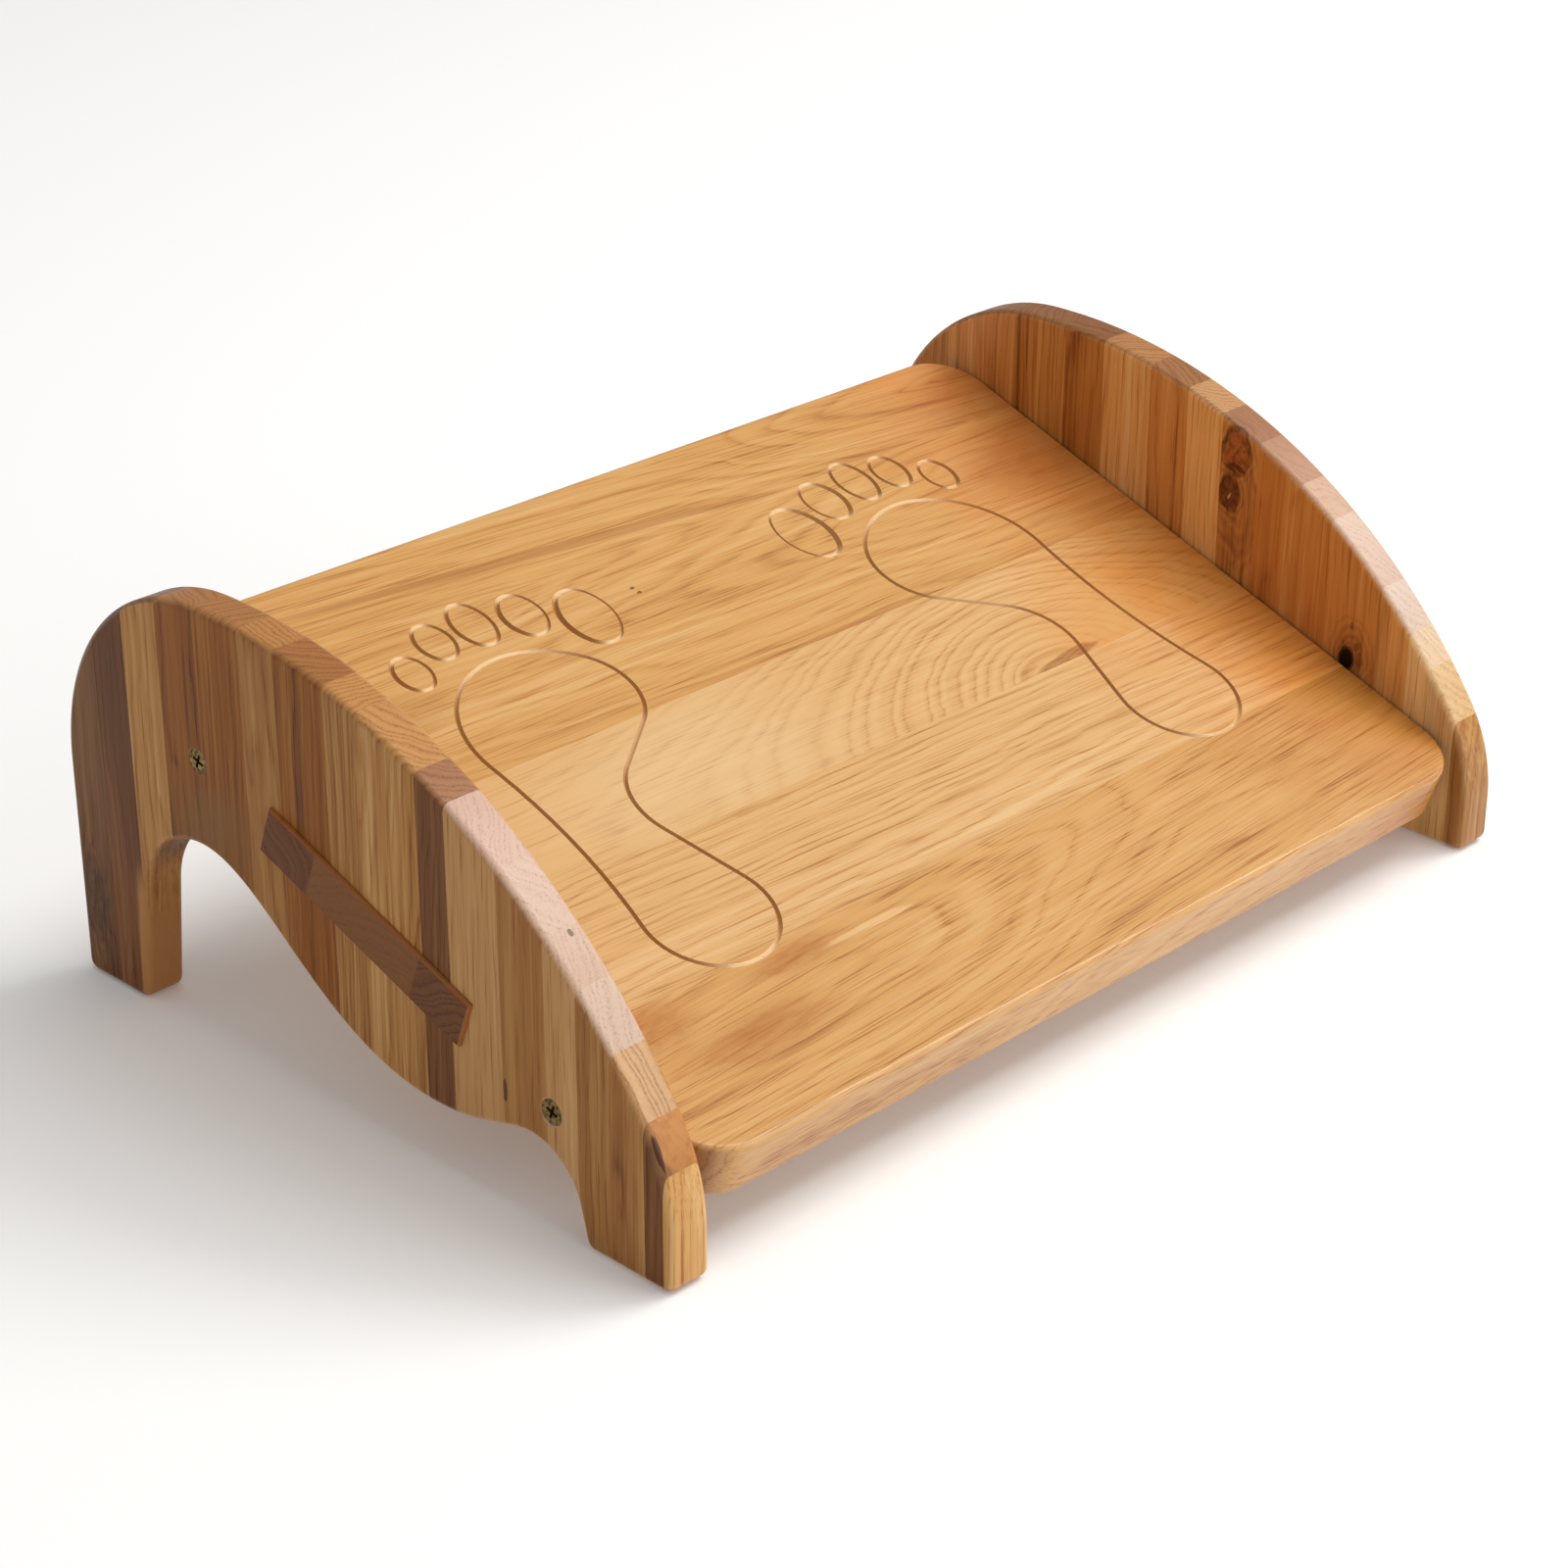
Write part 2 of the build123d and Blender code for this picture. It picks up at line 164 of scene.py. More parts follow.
def buildOak():
    number, colour = "NodeSocketFloat", "NodeSocketColor"
    tree, enter, leave = newGroup("oak", [
        ("Vector", "NodeSocketVector"), ("Seed", number),
        ("Dark", colour), ("Middle", colour), ("Light", colour), ("End Tint", colour),
        ("Ring", number), ("Ring Depth", number), ("Run Out", number), ("Reach", number),
        ("Wander", number), ("Streak", number), ("Pore", number), ("Bend", number),
        ("End", number), ("End Rings", number), ("Arris", number),
    ], [("Color", colour), ("Roughness", number), ("Height", number)])
    get = enter.outputs
    seedShift = addNode(tree, "ShaderNodeCombineXYZ")  # so no two seeds share their figure
    for axis, far in oakRings["seedShift"].items():
        setInput(tree, seedShift, axis, maths(tree, "MULTIPLY", get["Seed"], far))
    moved = vectorMaths(tree, "ADD", get["Vector"], seedShift.outputs[0])
    noises = {key: grainNoise(tree, moved, **sizes) for key, sizes in oakGrain.items()}

    # Distance from the pith, which sways, leans near the middle and straightens further off
    sway = addNode(tree, "ShaderNodeVectorMath", operation="SCALE")
    setInput(tree, sway, 0, vectorFromHalf(tree, noises["sway"].outputs["Color"]))
    setInput(tree, sway, "Scale", maths(tree, "MULTIPLY", get["Wander"], oakRings["swayGain"]))
    place = vectorMaths(tree, "ADD", get["Vector"], sway.outputs[0])
    ripple = vectorFromHalf(tree, noises["ripple"].outputs["Color"])
    ripple = vectorMaths(tree, "MULTIPLY", ripple, (oakRings["rippleSize"],) * 3)
    parts = addNode(tree, "ShaderNodeSeparateXYZ")
    setInput(tree, parts, 0, vectorMaths(tree, "ADD", place, ripple))
    deep, wide, long = parts.outputs
    along = maths(tree, "DIVIDE", long, get["Reach"])
    spread = maths(tree, "MULTIPLY_ADD", along, along, 1.0)
    along = maths(tree, "DIVIDE", long, maths(tree, "SQRT", spread))
    depth = maths(tree, "MULTIPLY_ADD", along, get["Run Out"], deep)
    square = maths(tree, "MULTIPLY_ADD", depth, depth, maths(tree, "MULTIPLY", wide, wide))
    radius = maths(tree, "ADD", maths(tree, "SQRT", square), get["Bend"])

    # Years of uneven width
    fatYears = addNode(tree, "ShaderNodeTexNoise", noise_dimensions="1D")
    place = maths(tree, "MULTIPLY_ADD", radius, oakRings["fatYearScale"], get["Seed"])
    setInputs(tree, fatYears, {"W": place, "Scale": 1.0, "Detail": 1.0})
    years = maths(tree, "DIVIDE", radius, get["Ring"])
    years = maths(tree, "MULTIPLY_ADD", fatYears.outputs[0], oakRings["fatYearGain"], years)
    ring = addNode(tree, "ShaderNodeValToRGB")
    ring.color_ramp.interpolation = "EASE"
    for stop in ring.color_ramp.elements:
        stop.color = [oakRings["turnOfYear"]] * 3 + [1.0]
    for spot, level in oakRings["levels"]:
        ring.color_ramp.elements.new(spot).color = [level] * 3 + [1.0]
    setInput(tree, ring, 0, maths(tree, "FRACT", years))
    early = ring.outputs[0]

    pores = softStep(tree, noises["pore"].outputs[0], *oakMix["poreStep"])
    crowd = maths(tree, "MULTIPLY_ADD", early, oakMix["poreEarly"], oakMix["poreLate"])
    pores = maths(tree, "MULTIPLY", maths(tree, "MULTIPLY", pores, crowd), get["Pore"])

    # Colour along the grain, then at the ends, and a lighter tone on the rounded arrises, partly sanding wear
    # and partly a painted highlight
    ringPull = maths(tree, "SUBTRACT", early, oakMix["ringLevel"])
    ringPull = maths(tree, "MULTIPLY", ringPull, maths(tree, "DIVIDE", get["Ring Depth"], spread))
    endGain = maths(tree, "MULTIPLY_ADD", get["End"], oakMix["ringGainAtEnd"], 1.0)
    ringPull = maths(tree, "MULTIPLY", maths(tree, "MULTIPLY", ringPull, endGain), oakMix["ringGain"])
    tone = maths(tree, "SUBTRACT", oakMix["middle"], ringPull)
    for key, strength in oakMix["swing"].items():
        swing = maths(tree, "MULTIPLY", fromHalf(tree, noises[key].outputs[0]), get["Streak"])
        tone = maths(tree, "MULTIPLY_ADD", swing, strength, tone)
    lower = softStep(tree, tone, *oakMix["darkToMiddle"])
    upper = softStep(tree, tone, *oakMix["middleToLight"])
    shade = blendColour(tree, "MIX", lower, get["Dark"], get["Middle"])
    shade = blendColour(tree, "MIX", upper, shade, get["Light"])
    shade = blendColour(tree, "MULTIPLY", pores, shade, tint(oakMix["poreTone"]))
    endDepth = maths(tree, "MULTIPLY", get["Ring Depth"], get["End Rings"])
    endRings = maths(tree, "MULTIPLY", maths(tree, "MULTIPLY", early, endDepth), oakMix["endRings"])
    endRings = maths(tree, "MULTIPLY_ADD", pores, oakMix["endPores"], endRings)
    endShade = blendColour(tree, "MULTIPLY", endRings, get["End Tint"], tint(oakMix["endRingTone"]))
    shade = blendColour(tree, "MIX", maths(tree, "MULTIPLY", get["End"], oakMix["endCover"]), shade, endShade)
    # painted highlight on the arrises, partly sanding wear
    paintedArrisLight = maths(tree, "MULTIPLY", get["Arris"], oakMix["arrisLift"])
    setInput(tree, leave, "Color", blendColour(tree, "SCREEN", paintedArrisLight, shade, tint(oakMix["arrisTone"])))

    cloud = fromHalf(tree, noises["cloud"].outputs[0])
    rough = maths(tree, "MULTIPLY_ADD", cloud, oakSheen["cloud"], oakSheen["plain"])
    rough = maths(tree, "MULTIPLY_ADD", pores, oakSheen["pore"], rough)
    rough = maths(tree, "MULTIPLY_ADD", get["End"], oakSheen["end"], rough)
    rough = maths(tree, "SUBTRACT", rough, maths(tree, "MULTIPLY", get["Arris"], oakSheen["arris"]))
    setInput(tree, leave, "Roughness", rough)
    height = maths(tree, "MULTIPLY", noises["fibre"].outputs[0], oakRelief["fibre"])
    height = maths(tree, "MULTIPLY_ADD", pores, oakRelief["pore"], height)
    setInput(tree, leave, "Height", maths(tree, "MULTIPLY_ADD", early, oakRelief["early"], height))
    return tree


# A knot: mottled heart, broken dark rim, rings around it and a push on the grain. One unit is its radius.
knotShape = dict(
    wobble=dict(scale=1.1, detail=2.0),
    speckle=dict(scale=3.4, detail=4.0),
    wobbleGain=0.7,
    heart=(1.05, 0.75),
    speckleStep=(0.46, 0.60),
    mottle=(1.0, 0.7),
    rimGaps=(0.36, 0.56, 0.25, 1.0),
    rimInside=(0.74, 0.92),
    rimOutside=(1.16, 0.98),
    ringCurve=0.7,
    ringPitch=26.0,
    rings=(1.9, 0.9),
    pushCore=0.2,
)


def buildKnot():
    number = "NodeSocketFloat"
    tree, enter, leave = newGroup(
        "knot", [("Vector", "NodeSocketVector"), ("Reach", number)],
        [("Heart", number), ("Mottle", number), ("Rim", number), ("Rings", number), ("Push", number)])
    place = enter.outputs["Vector"]
    wobble = addNoise(tree, place, **knotShape["wobble"]).outputs[0]
    speckle = addNoise(tree, place, **knotShape["speckle"]).outputs[0]
    far = vectorMaths(tree, "LENGTH", place, out=1)
    far = maths(tree, "MULTIPLY_ADD", fromHalf(tree, wobble), knotShape["wobbleGain"], far)
    setInput(tree, leave, "Heart", softStep(tree, far, *knotShape["heart"]))
    speckle = softStep(tree, speckle, *knotShape["speckleStep"])
    mottle = maths(tree, "MULTIPLY", speckle, softStep(tree, far, *knotShape["mottle"]))
    setInput(tree, leave, "Mottle", mottle)
    rim = softStep(tree, far, *knotShape["rimInside"])
    rim = maths(tree, "MULTIPLY", rim, softStep(tree, far, *knotShape["rimOutside"]))
    rim = maths(tree, "MULTIPLY", rim, softStep(tree, wobble, *knotShape["rimGaps"]))
    setInput(tree, leave, "Rim", rim)
    waves = maths(tree, "MULTIPLY", maths(tree, "POWER", far, knotShape["ringCurve"]), knotShape["ringPitch"])
    waves = maths(tree, "MULTIPLY_ADD", maths(tree, "SINE", waves), 0.5, 0.5)
    setInput(tree, leave, "Rings", maths(tree, "MULTIPLY", waves, softStep(tree, far, *knotShape["rings"])))
    setInput(tree, leave, "Push", softStep(tree, far, enter.outputs["Reach"], knotShape["pushCore"]))
    return tree


oakGroup = buildOak()
knotGroup = buildKnot()
print("footrest: oak and knot groups built")

# The footboard's own directions, with places on it as across and down from the middle of its back edge
boardSlope = math.radians(20.2)
boardMiddle = Vector((0, -0.0144, 0.08041))
boardHalf = 130.6
uphill = Vector((0, math.cos(boardSlope), math.sin(boardSlope)))
boardNormal = Vector((0, -math.sin(boardSlope), math.cos(boardSlope)))


def boardPoint(across, down, under=0):  # millimetres to a point in metres
    x, up, deep = metres((across, boardHalf - down, under))
    return boardMiddle + Vector((x, 0, 0)) + uphill * up - boardNormal * deep


def boardTurn(lean):  # depth, uphill and grain as the turned axes
    axes = Matrix((boardNormal, uphill, Vector((-1, 0, 0)))).transposed()
    return tuple((axes @ Matrix.Rotation(math.radians(lean), 3, "X")).to_euler("XYZ"))


# Knots and stains on a piece, each with its centre, half sizes and turn in the footrest's own frame
markParts = (
    ("Push", "haze", "heartTone"),
    ("Rings", "rings", "ringTone"),
    ("Heart", "heart", "heartTone"),
    ("Mottle", "mottle", "mottleTone"),
    ("Rim", "rim", "rimTone"),
)


def drawMarks(tree, coords, oak, colour, marks):
    bends = 0.0
    for mark in marks:
        spot = addNode(tree, "ShaderNodeMapping", vector_type="TEXTURE")
        setInputs(tree, spot, {"Vector": coords, "Location": metres(mark["at"]), "Rotation": mark["turn"],
                               "Scale": metres(mark["size"])})
        knot = addNode(tree, "ShaderNodeGroup", node_tree=knotGroup)
        setInputs(tree, knot, {"Vector": spot.outputs[0], "Reach": mark["reach"]})
        bends = maths(tree, "MULTIPLY_ADD", knot.outputs["Push"], mark["push"] / perMetre, bends)
        for part, amount, shade in markParts:
            if mark[amount]:
                cover = maths(tree, "MULTIPLY", knot.outputs[part], mark[amount])
                colour = blendColour(tree, "MIX", cover, colour, tint(mark[shade]))
    setInput(tree, oak, "Bend", bends)
    return colour


# Routed footprints: the walls of the cut are coloured by the way they face. Where they face across the board
# they are brown, partly end grain and partly painted shade. Where they face uphill they are pale, a painted
# highlight
grooveWallLight = dict(
    uphillSpan=(0.112, 0.110),
    acrossSpan=(0.152, 0.150),
    leavesFace=(0.95, 0.8),
    nearsUpright=(0.3, 0.5),
    alongToAcross=(0.15, 0.6),
    along="ecc896",
    across="ae763c",
    cover=0.85,
)


def paintGrooveWallLight(tree, coords, facing, colour):
    off = vectorMaths(tree, "SUBTRACT", coords, tuple(boardMiddle))
    inside = maths(tree, "MULTIPLY",
                   softStep(tree, absoluteDot(tree, off, tuple(uphill)), *grooveWallLight["uphillSpan"]),
                   softStep(tree, absoluteDot(tree, off, acrossAxis), *grooveWallLight["acrossSpan"]))
    tilt = dot(tree, facing, tuple(boardNormal))
    wall = maths(tree, "MULTIPLY", softStep(tree, tilt, *grooveWallLight["leavesFace"]),
                 softStep(tree, tilt, *grooveWallLight["nearsUpright"]))
    across = softStep(tree, absoluteDot(tree, facing, acrossAxis), *grooveWallLight["alongToAcross"])
    # the pale tone is a painted highlight, the brown partly end grain and partly painted shade
    cut = blendColour(tree, "MIX", across, tint(grooveWallLight["along"]), tint(grooveWallLight["across"]))
    cover = maths(tree, "MULTIPLY", maths(tree, "MULTIPLY", inside, wall), grooveWallLight["cover"])
    return blendColour(tree, "MIX", cover, colour, cut)


# Painted shade towards the right panel: the footboard is made darker and redder near it, standing in for the
# panel's shadow and the redder light it bounces
rightShadeLook = dict(shift=(0.31, 0.17, 0.23), patch=0.030, swing=0.09, span=(0.08, 0.19))


def paintRightPanelShade(tree, coords, colour, warm):
    shifted = vectorMaths(tree, "ADD", coords, rightShadeLook["shift"])
    patches = grainNoise(tree, shifted, rightShadeLook["patch"], rightShadeLook["patch"]).outputs[0]
    across = dot(tree, coords, acrossAxis)
    across = maths(tree, "MULTIPLY_ADD", fromHalf(tree, patches), rightShadeLook["swing"], across)
    return blendColour(tree, "MULTIPLY", softStep(tree, across, *rightShadeLook["span"]), colour, tint(warm))


# The tenon's sides are brown where they stand proud of the panel
tenonLook = dict(proud=(0.1994, 0.1999), sides=(0.9, 0.8, 0.0, 0.8), tone="a8622c")


def darkTenon(tree, coords, facing, colour):
    proud = softStep(tree, absoluteDot(tree, coords, acrossAxis), *tenonLook["proud"])
    sides = softStep(tree, absoluteDot(tree, facing, acrossAxis), *tenonLook["sides"])
    return blendColour(tree, "MIX", maths(tree, "MULTIPLY", proud, sides), colour, tint(tenonLook["tone"]))


# Tones of the wood, dark, middle and light, as they look under white light
oakTones = {
    "honey": ("a4682c", "cd9855", "dbb074"),
    "wheat": ("ac7438", "d3a366", "e2bc88"),
    "gold": ("a8682e", "e5a25a", "efbd7c"),
    "apricot": ("bc7c3c", "efae62", "f5c380"),
    "cream": ("bc8a4e", "edba7a", "f4cc96"),
    "sorrel": ("935220", "cd803a", "e3a158"),
    "amber": ("985826", "d48a44", "e8aa66"),
    "copper": ("8a4c1b", "c07833", "da9a52"),
    "russet": ("804618", "bc742e", "d6934a"),
    "umber": ("5c330f", "93561a", "ac7434"),
    "walnut": ("4c2f16", "774923", "94673a"),
    "chestnut": ("4f2d15", "804e24", "9c6939"),
    "hazel": ("754920", "a56f38", "c09255"),
    "tan": ("86592c", "b88143", "d2a569"),
    "straw": ("976b40", "c3925a", "dab27e"),
}
oakFinish = dict(
    arrisInside=(0.04, 0.45),
    arrisOutside=(0.985, 0.7),
    endStep=(0.25, 0.75),
    coatRough=0.25,
    coatEdge=(0.998, 0.965),
    coatEnd=(0.4, 0.9),
    bump=0.3,
    bumpDepth=0.0004,
)


def dressOak(name, look, place, turn, flat, grain, marks):
    material = bpy.data.materials.new(name + "_oak")
    material.use_nodes = True
    tree = material.node_tree
    coords = addNode(tree, "ShaderNodeTexCoord").outputs["Object"]
    facing = addNode(tree, "ShaderNodeNewGeometry").outputs["Normal"]
    mapping = addNode(tree, "ShaderNodeMapping", vector_type="TEXTURE")
    setInputs(tree, mapping, {"Vector": coords, "Location": place, "Rotation": turn})
    end = absoluteDot(tree, facing, grain)
    side = absoluteDot(tree, facing, flat)
    arris = maths(tree, "MULTIPLY", softStep(tree, side, *oakFinish["arrisInside"]),
                  softStep(tree, side, *oakFinish["arrisOutside"]))
    dark, middle, light = (tint(code) for code in oakTones[look["tone"]])
    ring, reach, wander = metres((look["ring"], look["reach"], look["wander"]))
    oak = addNode(tree, "ShaderNodeGroup", node_tree=oakGroup)
    setInputs(tree, oak, {
        "Vector": mapping.outputs[0], "Seed": look["seed"],
        "Dark": dark, "Middle": middle, "Light": light, "End Tint": tint(look["end"]),
        "Ring": ring, "Ring Depth": look["ringDepth"], "Run Out": look["runOut"], "Reach": reach,
        "Wander": wander, "Streak": look["streak"], "Pore": look["pore"],
        "End": softStep(tree, end, *oakFinish["endStep"]), "End Rings": look["endRings"], "Arris": arris,
    })
    colour = drawMarks(tree, coords, oak, oak.outputs["Color"], marks)
    if "warm" in look:  # a plank of the footboard
        colour = paintGrooveWallLight(tree, coords, facing, colour)
        # painted shade and bounced light by the right panel
        colour = paintRightPanelShade(tree, coords, colour, look["warm"])
        colour = darkTenon(tree, coords, facing, colour)
    coat = softStep(tree, side, *oakFinish["coatEdge"], look["faceCoat"], look["edgeCoat"])
    coat = maths(tree, "MULTIPLY", coat, softStep(tree, end, *oakFinish["coatEnd"], 1.0, look["endCoat"]))
    bump = addNode(tree, "ShaderNodeBump")
    setInputs(tree, bump, {"Strength": oakFinish["bump"], "Distance": oakFinish["bumpDepth"],
                           "Height": oak.outputs["Height"]})
    setInputs(tree, tree.nodes["Principled BSDF"], {
        "Base Color": colour, "Roughness": oak.outputs["Roughness"], "Specular IOR Level": look["gloss"],
        "Coat Roughness": oakFinish["coatRough"], "Coat Weight": coat, "Normal": bump.outputs[0],
    })
    mesh = nodes[name].data
    mesh.materials.clear()
    mesh.materials.append(material)


# Staves of the side panels: tone, pith from the stave's middle in millimetres, ring width and figure
pithHeight = 0.075
sideLean = 0.6
stavePlain = dict(
    middle=None, ring=2.6, ringDepth=0.4, endRings=1.0, runOut=0.03, reach=400, wander=4, lean=1.0,
    streak=0.75, pore=0.6, end="bb8a5a", gloss=0.14, faceCoat=0.0, edgeCoat=0.4, endCoat=0.85)
knottyStave = dict(  # five staves from one board, round the knots
    pith=(60, 40), middle=(192.5, -72), seed=33.5, wander=9, ringDepth=0.1, pore=0.5, streak=1.0)
# The left panel's tones are darker and the right panel's lighter and redder: partly the wood, partly painted
# shade on the left panel's outer face and painted bounce light on the right panel's inner face
staves = {
    "left_stave_01": dict(tone="walnut", pith=(-40, 60), seed=1.0, streak=1.0, wander=7, end="714528"),
    "left_stave_02": dict(tone="chestnut", pith=(50, 45), seed=2.1, streak=0.8, end="6c4428"),
    "left_stave_03": dict(tone="tan", pith=(80, -30), seed=3.7, ring=2.0, end="7c5030"),
    "left_stave_04": dict(tone="umber", pith=(-60, 30), seed=4.4, streak=0.9, end="b27a44"),
    "left_stave_05": dict(tone="umber", pith=(30, 80), seed=5.2, streak=0.9, end="b27a44"),
    "left_stave_06": dict(tone="hazel", pith=(-90, 20), seed=6.9, ring=1.9, end="bd8448"),
    "left_stave_07": dict(tone="umber", pith=(45, 50), seed=7.3, streak=0.9, end="a8703c"),
    "left_stave_08": dict(tone="hazel", pith=(20, 90), seed=8.8, ring=1.8, streak=1.2, end="c48b4e"),
    "left_stave_09": dict(tone="tan", pith=(40, 25), seed=9.5, ring=2.4, streak=1.3, end="c68e52"),
    "left_stave_10": dict(tone="walnut", pith=(25, 40), seed=10.2, ring=2.2, end="a8744c"),
    # Staves 11 to 15: the pale, pinkish end tints on the top edge are partly the wood and partly a painted
    # sheen where the crown slopes down to the front
    "left_stave_11": dict(
        tone="straw", pith=(-70, 60), seed=11.6, ring=1.9, ringDepth=0.12, streak=0.7, end="cfaa97"),
    "left_stave_12": dict(tone="hazel", pith=(60, 60), seed=12.4, ringDepth=0.12, end="d2b19b"),
    "left_stave_13": dict(tone="straw", pith=(-80, 30), seed=13.9, ring=2.1, ringDepth=0.12, end="cdac96"),
    "left_stave_14": dict(tone="hazel", pith=(60, -40), seed=14.7, ringDepth=0.12, end="d6baa6"),
    "left_stave_15": dict(tone="hazel", pith=(70, 4), seed=15.3, ringDepth=0.5, end="d8ae80"),
    "left_stave_16": dict(tone="walnut", pith=(30, 30), seed=16.1, end="c88c50"),
    "left_stave_17": dict(tone="honey", pith=(-60, 60), seed=17.5, streak=0.7),
    "right_stave_01": dict(tone="russet", pith=(40, 60), seed=21.2),
    "right_stave_02": dict(tone="copper", pith=(-50, 40), seed=22.3),
    "right_stave_03": dict(tone="amber", pith=(60, -40), seed=23.8, streak=0.9, end="8a5a34"),
    "right_stave_04": dict(tone="amber", pith=(25, 70), seed=24.6, streak=1.0, end="8a5a34"),
    "right_stave_05": dict(tone="russet", pith=(-30, 55), seed=25.4, streak=1.0, end="8a5a34"),
    "right_stave_06": dict(tone="copper", pith=(70, 30), seed=26.7, streak=0.8, end="8a5a34"),
    "right_stave_07": dict(tone="gold", pith=(40, 60), seed=27.1, streak=0.8, end="b07a48"),
    "right_stave_08": dict(tone="amber", pith=(-60, 40), seed=28.5, end="9a683e"),
    "right_stave_09": dict(tone="apricot", pith=(60, 60), seed=29.9, ring=1.8, end="c09060"),
    "right_stave_10": dict(knottyStave, tone="amber", end="9c6a4c", ringDepth=0.16),
    "right_stave_11": dict(knottyStave, tone="sorrel", end="ae8062"),
    # Staves 12 to 16: the pale end tints on the top edge are partly the wood and partly a painted sheen on
    # the front slope of the crown
    "right_stave_12": dict(knottyStave, tone="sorrel", end="c39c80"),
    "right_stave_13": dict(knottyStave, tone="amber", end="cdb09c"),
    "right_stave_14": dict(knottyStave, tone="gold", end="d4c0b0"),
    "right_stave_15": dict(tone="cream", pith=(40, 40), seed=35.6, ringDepth=0.15, end="d9c0a4"),
    "right_stave_16": dict(tone="wheat", pith=(30, 60), seed=36.3, ringDepth=0.15, streak=1.2, end="d8b88a"),
    "right_stave_17": dict(tone="hazel", pith=(-30, 40), seed=37.7, streak=1.0, end="b8803e"),
}
knotPlain = dict(
    turn=(0, 0, 0), reach=2.6, push=6, haze=0, rings=0.4, heart=0.7, mottle=0, rim=0.9,
    ringTone="5c2a10", mottleTone="3a1808", rimTone="241007")
patchPlain = dict(knotPlain, push=0, rings=0, heart=0, rim=0)
archPatch = dict(patchPlain, at=(-200, 62, 76), size=(20, 24, 16), reach=1.4, haze=0.6, heartTone="876035")
staveMarks = {
    "left_stave_01": [
        dict(patchPlain, at=(-200, 129, 96), size=(20, 14, 46), reach=1.4, haze=0.5, heartTone="8c6642"),
        dict(knotPlain, at=(-200, 131, 28), size=(20, 6, 14), reach=2.0, push=5, rings=0.3, heart=0.35,
             mottle=0.35, rim=0.3,
             ringTone="3f2a1c", heartTone="4d3829", mottleTone="38271d", rimTone="2f2018"),
    ],
    "left_stave_02": [
        dict(patchPlain, at=(-200, 111, 108), size=(20, 14, 54), reach=1.4, haze=0.6, heartTone="5a361b"),
        # Lighter low on the back leg's face towards the arch: painted light, where that face lies in shade
        dict(patchPlain, at=(-192, 103, 10), size=(20, 6, 46), heart=0.75, mottle=0.15,
             heartTone="c98e50", mottleTone="a8703a"),
    ],
    "left_stave_04": [archPatch],
    "left_stave_05": [archPatch],
    "left_stave_12": [
        dict(knotPlain, at=(-200, -69.5, 39), size=(20, 0.9, 3.6), push=1.0, rings=0, heartTone="2b1a10"),
    ],
    "left_stave_13": [
        dict(knotPlain, at=(-190.5, -89, 95), size=(0.8, 0.9, 10), push=0, rings=0,
             heartTone="3a2216", rimTone="3a2216"),
    ],
    "left_stave_16": [
        dict(patchPlain, at=(-186, -131, 44), size=(13, 10, 17), heart=0.7, mottle=0.35,
             heartTone="c8843e", mottleTone="9a5a24"),
        dict(patchPlain, at=(-198.4, -131.5, 45), size=(1.2, 2.0, 8), turn=(-0.35, 0, 0), heart=0.85,
             heartTone="3c180a"),
    ],
    "right_stave_10": [
        dict(knotPlain, at=(185, -32, 101), size=(7, 8.6, 17), reach=1.6, push=5, rings=0.25, heart=0.12,
             rim=0.3, heartTone="7c3e18", rimTone="5a2a10"),
        dict(knotPlain, at=(185, -30.2, 121.5), size=(5, 6.2, 8.4), push=7, heart=0.75, mottle=0.6, rim=0.75,
             heartTone="ac5c2a", mottleTone="6e3616", rimTone="38180a"),
        dict(patchPlain, at=(185, -31.5, 115.4), size=(5, 3.6, 1.1), turn=(0.35, 0, 0), heart=0.7, rim=0.2,
             heartTone="32140a"),
        dict(knotPlain, at=(185, -28, 105), size=(6, 4.6, 6.2), push=5, heart=0.8, mottle=0.5, rim=0.7,
             heartTone="743818"),
        # A small pale fleck on the lower knot: a painted glint
        dict(patchPlain, at=(185, -28.2, 104), size=(5, 0.5, 1.6), turn=(0.5, 0, 0), heart=0.8,
             heartTone="caa27e"),
    ],
    "right_stave_13": [
        dict(patchPlain, at=(185, -85.0, 60), size=(9, 6.8, 9.0), rings=0.3, heart=0.35, mottle=0.3,
             heartTone="8e4c1e", mottleTone="74391a"),
        dict(knotPlain, at=(185, -83.3, 57.5), size=(9, 3.2, 4.3), reach=3.6, heart=1.0, heartTone="1c0c06"),
        dict(patchPlain, at=(185, -88.6, 58.6), size=(6, 1.5, 3.0), heart=0.5, heartTone="6b3818"),
        dict(patchPlain, at=(185, -87.2, 63.0), size=(6, 1.2, 1.8), heart=0.5, heartTone="6b3818"),
        dict(patchPlain, at=(185, -84.8, 70.5), size=(6, 0.9, 1.7), push=1, heart=0.5, heartTone="6b3818"),
    ],
}
for name in sorted(nodes):
    key = name.replace("_lower", "").replace("_upper", "")  # both lengths of a mortised stave look alike
    if key not in staves:
        continue
    look = {**stavePlain, **staves[key]}
    low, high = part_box(name)
    middle = Vector((*metres(look["middle"]), 0)) if look["middle"] else (low + high) / 2
    pithX, pithY = metres(look["pith"])
    place = (middle.x + pithX, middle.y + pithY, pithHeight)
    turn = (math.radians(look["lean"]), math.radians(look["lean"] * sideLean), 0)
    dressOak(name, look, place, turn, acrossAxis, upAxis, staveMarks.get(key, []))
print("footrest: staves dressed")
